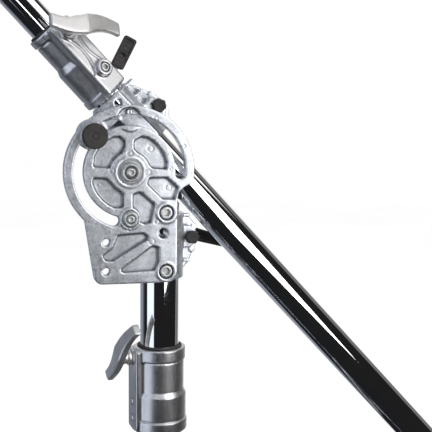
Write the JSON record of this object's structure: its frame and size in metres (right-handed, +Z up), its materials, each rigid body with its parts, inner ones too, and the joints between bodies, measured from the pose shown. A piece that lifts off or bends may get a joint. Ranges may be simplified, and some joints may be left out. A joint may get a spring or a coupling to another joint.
{
  "type": "boom lighting stand",
  "caption": "Telescopic lighting stand with folding tripod legs, sliding column, tilting cast head with arc slot and lock knob, and a telescopic boom tube.",
  "frame": {"origin": "centre of the column's bottom face, on the column's axis", "axes": "+Z up along the column, the front of the tilting head faces -Y, and the boom rises towards -X"},
  "size_m": [0.9557, 0.7996, 1.7763],
  "materials": {
    "chrome_tube": "mirror-bright chrome plate",
    "cast_metal": "tumbled die casting, bright satin with fine grain",
    "collar_metal": "polished grey casting",
    "handle_metal": "satin cast wing",
    "steel": "zinc-plated turned steel",
    "black_steel": "black oxide",
    "painted_brace": "bright zinc-plated flat bar",
    "black_plastic": "fine-textured moulded plastic",
    "foot_rubber": "matt moulded rubber"
  },
  "bodies": {
    "base": {"base_column": "chrome_tube", "column_foot_plug": "black_plastic", "brace_hub": "collar_metal", "brace_pin_1": "steel", "brace_pin_2": "steel", "brace_pin_3": "steel", "column_collar": "collar_metal", "column_collar_bush": "black_plastic"},
    "leg_carrier": {"leg_collar": "collar_metal", "leg_collar_bush": "black_plastic", "leg_pin_1": "steel", "leg_pin_2": "steel", "leg_pin_3": "steel"},
    "leg_handle": {"leg_collar_handle": "handle_metal", "leg_handle_stud": "steel"},
    "leg_1": {"leg_tube_1": "chrome_tube", "leg_foot_1": "foot_rubber"},
    "leg_2": {"leg_tube_2": "chrome_tube", "leg_foot_2": "foot_rubber"},
    "leg_3": {"leg_tube_3": "chrome_tube", "leg_foot_3": "foot_rubber"},
    "brace_1": {"brace_1": "painted_brace"},
    "brace_2": {"brace_2": "painted_brace"},
    "brace_3": {"brace_3": "painted_brace"},
    "column_handle": {"column_handle": "handle_metal", "column_handle_stud": "steel"},
    "riser_slider": {"riser_guide_plug": "black_plastic"},
    "head": {"riser_tube": "chrome_tube", "riser_top_plug": "black_plastic", "tilt_plate": "cast_metal", "plate_bolt_upper": "steel", "plate_bolt_lower": "steel", "pivot_nut": "steel", "pivot_washer": "steel", "stop_stud": "steel", "stop_nut": "steel", "column_clamp_front": "cast_metal", "column_clamp_rear": "cast_metal", "column_clamp_bolt": "black_steel"},
    "clamp_lever": {"clamp_lever": "black_steel"},
    "bracket": {"boom_bracket": "cast_metal", "boom_clamp_rear": "cast_metal", "boom_clamp_bolt": "black_steel", "boom_clamp_nut": "steel", "pivot_bolt": "steel", "knob_stud": "steel", "knob_washer": "steel"},
    "tilt_knob": {"tilt_knob": "black_plastic"},
    "boom_outer": {"boom_tube": "chrome_tube", "boom_end_cap": "black_plastic", "boom_collar": "collar_metal", "boom_collar_bush": "black_plastic", "boom_collar_screw": "steel", "tab_lug": "steel"},
    "boom_handle": {"boom_handle": "handle_metal", "boom_handle_stud": "steel"},
    "safety_tab": {"safety_tab": "black_plastic"},
    "boom_inner": {"boom_inner_tube": "chrome_tube", "boom_spigot": "steel", "inner_boom_plug": "black_plastic"}
  },
  "joints": [
    {"name": "leg_slide", "type": "slide", "parent": "base", "child": "leg_carrier", "axis": [0, 0, 1], "range_m": [0, 0.1691]},
    {"name": "leg_1_fold", "type": "hinge", "parent": "leg_carrier", "child": "leg_1", "pos_m": [-0.04698, -0.0171, 0.33854], "axis": [0.342, -0.9397, 0], "range_deg": [0, 46]},
    {"name": "leg_2_fold", "type": "hinge", "parent": "leg_carrier", "child": "leg_2", "pos_m": [0.0383, -0.03214, 0.33854], "axis": [0.6428, 0.766, 0], "range_deg": [0, 46]},
    {"name": "leg_3_fold", "type": "hinge", "parent": "leg_carrier", "child": "leg_3", "pos_m": [0.00868, 0.04924, 0.33854], "axis": [-0.9848, 0.1736, 0], "range_deg": [0, 46]},
    {"name": "brace_1_fold", "type": "hinge", "parent": "base", "child": "brace_1", "pos_m": [-0.04698, -0.0171, 0.03], "axis": [-0.342, 0.9397, 0], "range_deg": [0, 46]},
    {"name": "brace_2_fold", "type": "hinge", "parent": "base", "child": "brace_2", "pos_m": [0.0383, -0.03214, 0.03], "axis": [-0.6428, -0.766, 0], "range_deg": [0, 46]},
    {"name": "brace_3_fold", "type": "hinge", "parent": "base", "child": "brace_3", "pos_m": [0.00868, 0.04924, 0.03], "axis": [0.9848, -0.1736, 0], "range_deg": [0, 46]},
    {"name": "leg_handle_turn", "type": "hinge", "parent": "leg_carrier", "child": "leg_handle", "pos_m": [0, 0, 0.35554], "axis": [-0.1736, -0.9848, 0], "range_deg": [0, 330]},
    {"name": "column_handle_turn", "type": "hinge", "parent": "base", "child": "column_handle", "pos_m": [0, 0, 0.9515], "axis": [-0.9903, -0.1392, 0], "range_deg": [0, 330]},
    {"name": "riser_slide", "type": "slide", "parent": "base", "child": "riser_slider", "axis": [0, 0, 1], "range_m": [-0.042, 0.42]},
    {"name": "riser_pan", "type": "hinge", "parent": "riser_slider", "child": "head", "pos_m": [0, 0, 0.961], "axis": [0, 0, 1], "continuous": true},
    {"name": "clamp_lever_turn", "type": "hinge", "parent": "head", "child": "clamp_lever", "pos_m": [0.0315, 0, 1.079], "axis": [0, -1, 0], "range_deg": [-60, 90]},
    {"name": "boom_tilt", "type": "hinge", "parent": "head", "child": "bracket", "pos_m": [-0.038, 0, 1.15], "axis": [0, -1, 0], "range_deg": [0, 100]},
    {"name": "tilt_knob_turn", "type": "hinge", "parent": "bracket", "child": "tilt_knob", "pos_m": [-0.0747, 0, 1.18683], "axis": [0, -1, 0], "continuous": true},
    {"name": "boom_slide", "type": "slide", "parent": "bracket", "child": "boom_outer", "axis": [-0.682, 0, 0.7314], "range_m": [0, 0.45]},
    {"name": "boom_handle_turn", "type": "hinge", "parent": "boom_outer", "child": "boom_handle", "pos_m": [-0.10705, 0, 1.27977], "axis": [0.3091, -0.9063, 0.2882], "range_deg": [0, 330]},
    {"name": "safety_tab_flip", "type": "hinge", "parent": "boom_outer", "child": "safety_tab", "pos_m": [-0.04458, 0.006, 1.25325], "axis": [0, -1, 0], "range_deg": [-20, 15], "stiffness_Nm_per_rad": 0.05},
    {"name": "inner_boom_slide", "type": "slide", "parent": "boom_outer", "child": "boom_inner", "axis": [-0.682, 0, 0.7314], "range_m": [-0.42, 0.18]}
  ],
  "couplings": [
    {"joint": "leg_1_fold", "follows": "leg_slide", "rad_per_m": 4.6299},
    {"joint": "leg_2_fold", "follows": "leg_slide", "rad_per_m": 4.6299},
    {"joint": "leg_3_fold", "follows": "leg_slide", "rad_per_m": 4.6299},
    {"joint": "brace_1_fold", "follows": "leg_slide", "rad_per_m": 4.6299},
    {"joint": "brace_2_fold", "follows": "leg_slide", "rad_per_m": 4.6299},
    {"joint": "brace_3_fold", "follows": "leg_slide", "rad_per_m": 4.6299}
  ]
}
